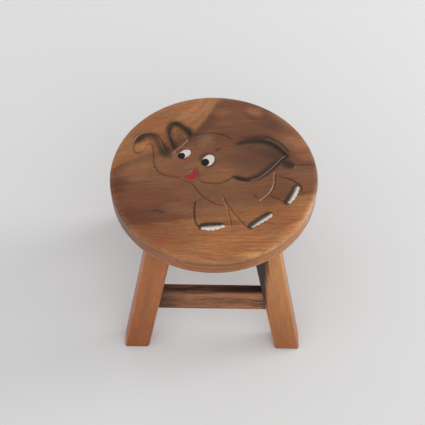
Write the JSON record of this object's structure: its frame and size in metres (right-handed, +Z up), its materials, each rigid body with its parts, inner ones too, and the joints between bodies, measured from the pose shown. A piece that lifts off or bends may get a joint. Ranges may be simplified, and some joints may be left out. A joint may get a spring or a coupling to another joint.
{
  "type": "wooden stool",
  "caption": "Low round wooden stool on splayed legs with stretchers, an elephant carved and painted on its solid seat.",
  "frame": {"origin": "on the floor under the middle of the seat, at the bottom centre of the bounding box", "axes": "+Z up, out of the seat's top; -Y is the front, the side that the carved elephant's feet point to; +X is to the right of someone facing the front"},
  "size_m": [0.25, 0.25, 0.24],
  "materials": {
    "seat_wood": "brown hardwood, hand carved, satin lacquer",
    "leg_wood": "brown hardwood, satin lacquer",
    "rail_wood": "dark brown hardwood, satin lacquer",
    "screw_steel": "zinc plated"
  },
  "bodies": {
    "root": {"seat": "seat_wood", "front_left_leg": "leg_wood", "front_right_leg": "leg_wood", "rear_left_leg": "leg_wood", "rear_right_leg": "leg_wood", "front_stretcher": "rail_wood", "rear_stretcher": "rail_wood", "left_stretcher": "rail_wood", "right_stretcher": "rail_wood", "front_batten": "rail_wood", "rear_batten": "rail_wood", "seat_screws": "screw_steel"}
  },
  "joints": []
}
